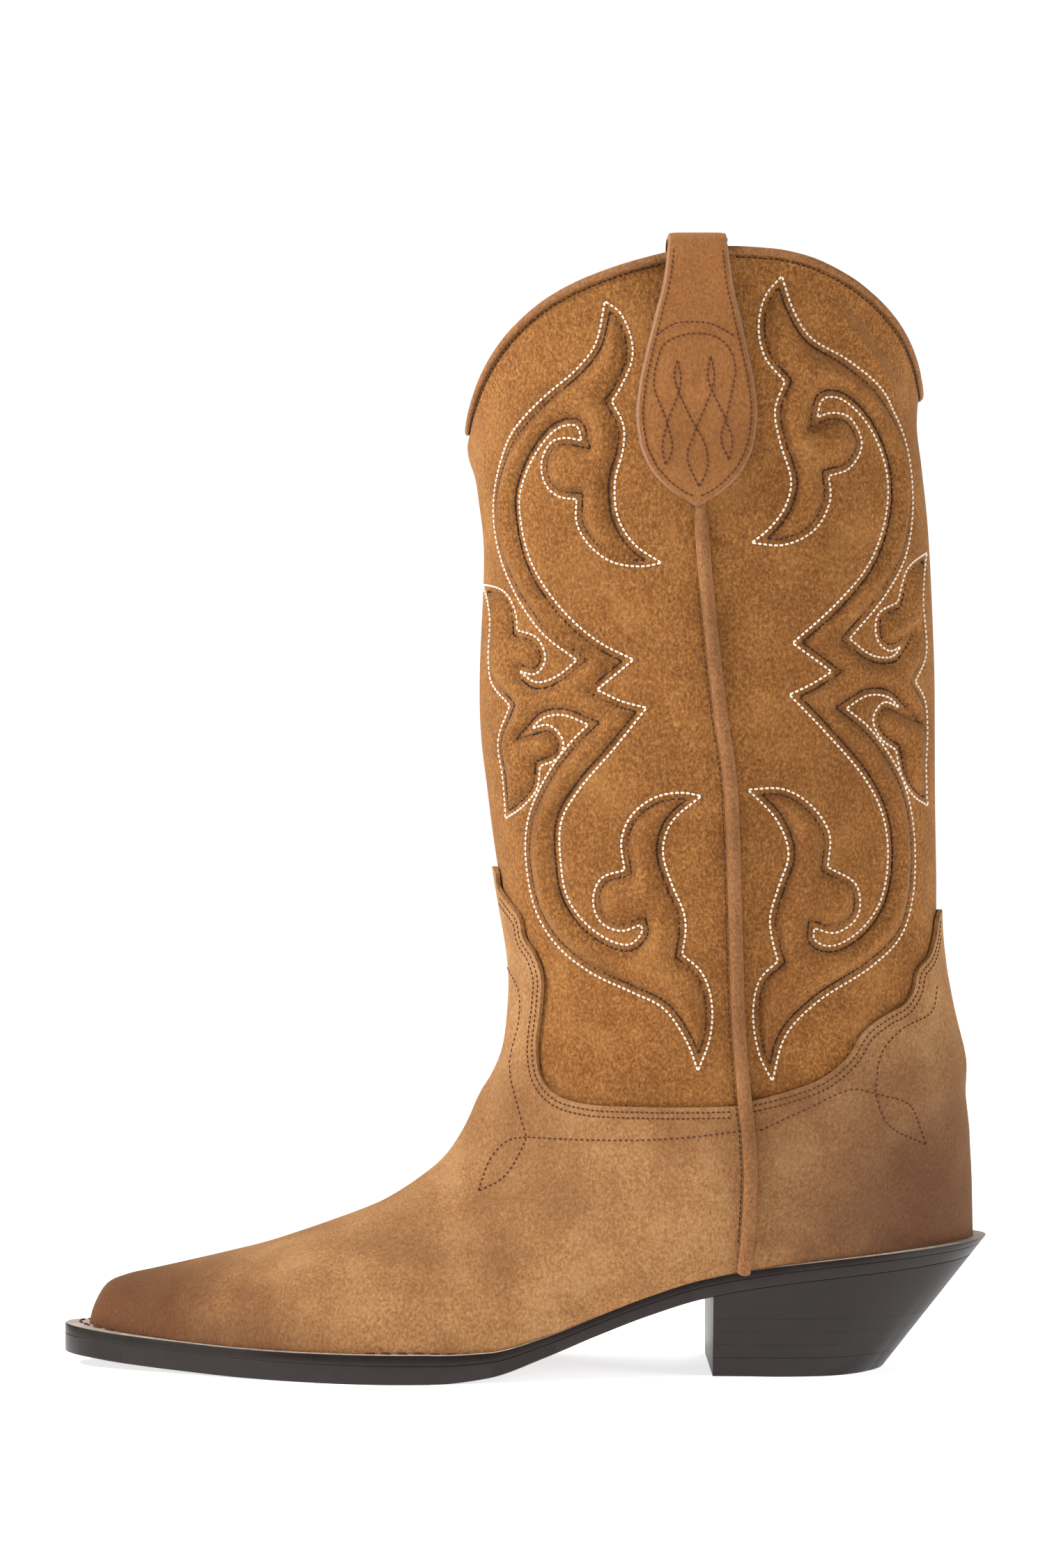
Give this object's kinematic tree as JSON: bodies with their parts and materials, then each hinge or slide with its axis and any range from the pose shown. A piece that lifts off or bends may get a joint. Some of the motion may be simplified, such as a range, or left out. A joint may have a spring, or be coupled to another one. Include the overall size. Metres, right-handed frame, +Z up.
{
  "type": "cowboy boot",
  "caption": "Pull-on western boot for the left foot: stitched suede shaft with scalloped top and pull straps, pointed toe, welted sole and slanted stacked heel.",
  "frame": {"origin": "on the ground, in the middle of the boot's box", "axes": "+Z up, -X towards the toe, -Y towards the outer side of the foot"},
  "size_m": [0.288, 0.1234, 0.3463],
  "materials": {
    "suede": "tan nubuck, matt, with a fine nap",
    "trim_suede": "darker brown nubuck",
    "pigskin": "smooth natural lining leather",
    "foam": "cream foam and cloth",
    "stiffener": "pressed fibre board",
    "board": "vegetable tanned insole leather",
    "cork": "ground cork in binder",
    "steel": "plain steel",
    "welt_leather": "natural leather, pale on top",
    "sole_leather": "dark brown edge paint, satin",
    "rubber": "near-black rubber, matt",
    "brass": "brass brads"
  },
  "bodies": {
    "root": {"vamp": "suede", "counter_cover": "suede", "shaft_front": "suede", "shaft_back": "suede", "pull_strap_left": "suede", "pull_strap_right": "suede", "topline_binding_front": "trim_suede", "topline_binding_back": "trim_suede", "side_welt_left": "trim_suede", "side_welt_right": "trim_suede", "shaft_lining_front": "pigskin", "shaft_lining_back": "pigskin", "vamp_lining": "pigskin", "counter_lining": "pigskin", "sock_lining": "pigskin", "shaft_padding_front": "foam", "shaft_padding_back": "foam", "vamp_interlining": "foam", "toe_box": "stiffener", "heel_counter_stiffener": "stiffener", "insole": "board", "cork_filler": "cork", "shank": "steel", "heel_nail_1": "steel", "heel_nail_2": "steel", "heel_nail_3": "steel", "heel_nail_4": "steel", "heel_nail_5": "steel", "welt": "welt_leather", "heel_rand": "welt_leather", "outsole": "sole_leather", "heel_wedge": "sole_leather", "heel_lift_1": "sole_leather", "heel_lift_2": "sole_leather", "heel_lift_3": "sole_leather", "heel_top_piece": "rubber", "top_piece_nail_1": "brass", "top_piece_nail_2": "brass", "top_piece_nail_3": "brass", "top_piece_nail_4": "brass"}
  },
  "joints": []
}
